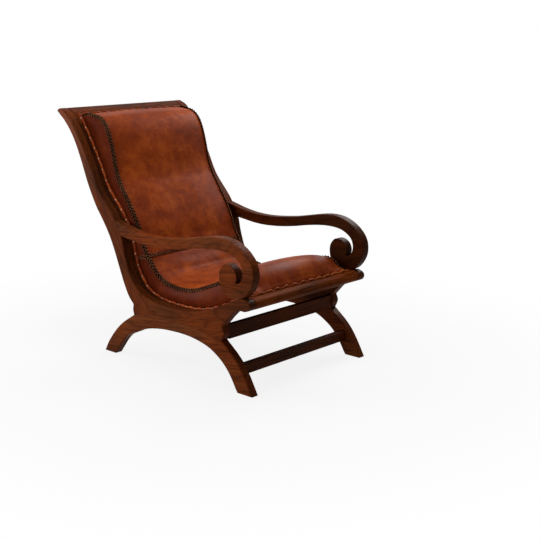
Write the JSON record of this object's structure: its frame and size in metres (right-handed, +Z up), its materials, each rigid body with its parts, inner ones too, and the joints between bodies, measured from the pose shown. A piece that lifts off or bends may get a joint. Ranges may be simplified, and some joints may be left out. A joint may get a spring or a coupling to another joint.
{
  "type": "planters chair",
  "caption": "Low reclined wooden lounge chair with scroll arms, arched legs and a continuous padded leather seat and back edged with dark braid and studded welts.",
  "frame": {"origin": "on the floor, under the middle of the chair's bounding box", "axes": "+Z up; the sitter looks along -Y and the back rises towards +Y; +X to the sitter's left"},
  "size_m": [0.658, 1.102, 0.972],
  "materials": {
    "frame_wood": "satin polished reddish-brown hardwood with visible grain and softened edges",
    "inner_wood": "plain unpolished hardwood and plywood of the hidden supports",
    "leather": "mottled cognac-brown pull-up leather with a soft sheen",
    "welt_leather": "orange-brown folded leather welt, slightly puckered",
    "lacing_leather": "very dark brown braided leather lacing",
    "nail_brass": "small domed upholstery nails of aged brass"
  },
  "bodies": {
    "root": {"crest_rail": "frame_wood", "front_rail": "frame_wood", "upper_stretcher": "frame_wood", "lower_stretcher": "frame_wood", "leg_arch_right": "frame_wood", "leg_arch_left": "frame_wood", "seat_rail_right": "frame_wood", "seat_rail_left": "frame_wood", "back_stile_right": "frame_wood", "back_stile_left": "frame_wood", "arm_right": "frame_wood", "arm_left": "frame_wood", "rear_rail": "inner_wood", "back_deck": "inner_wood", "seat_deck": "inner_wood", "back_batten_right": "inner_wood", "back_batten_left": "inner_wood", "seat_batten_right": "inner_wood", "seat_batten_left": "inner_wood", "arch_dowel_1_right": "inner_wood", "arch_dowel_1_left": "inner_wood", "arch_dowel_2_right": "inner_wood", "arch_dowel_2_left": "inner_wood", "arch_dowel_3_right": "inner_wood", "arch_dowel_3_left": "inner_wood", "arch_dowel_4_right": "inner_wood", "arch_dowel_4_left": "inner_wood", "arch_dowel_5_right": "inner_wood", "arch_dowel_5_left": "inner_wood", "foot_dowel_right": "inner_wood", "foot_dowel_left": "inner_wood", "arm_rear_dowel_right": "inner_wood", "arm_rear_dowel_left": "inner_wood", "arm_front_dowel_right": "inner_wood", "arm_front_dowel_left": "inner_wood", "back_cushion": "leather", "seat_cushion": "leather", "side_welt_right": "welt_leather", "side_welt_left": "welt_leather", "head_welt": "welt_leather", "front_welt": "welt_leather", "lacing_right": "lacing_leather", "lacing_left": "lacing_leather", "lacing_cross": "lacing_leather", "lacing_gusset_right": "lacing_leather", "lacing_gusset_left": "lacing_leather"}
  },
  "joints": []
}
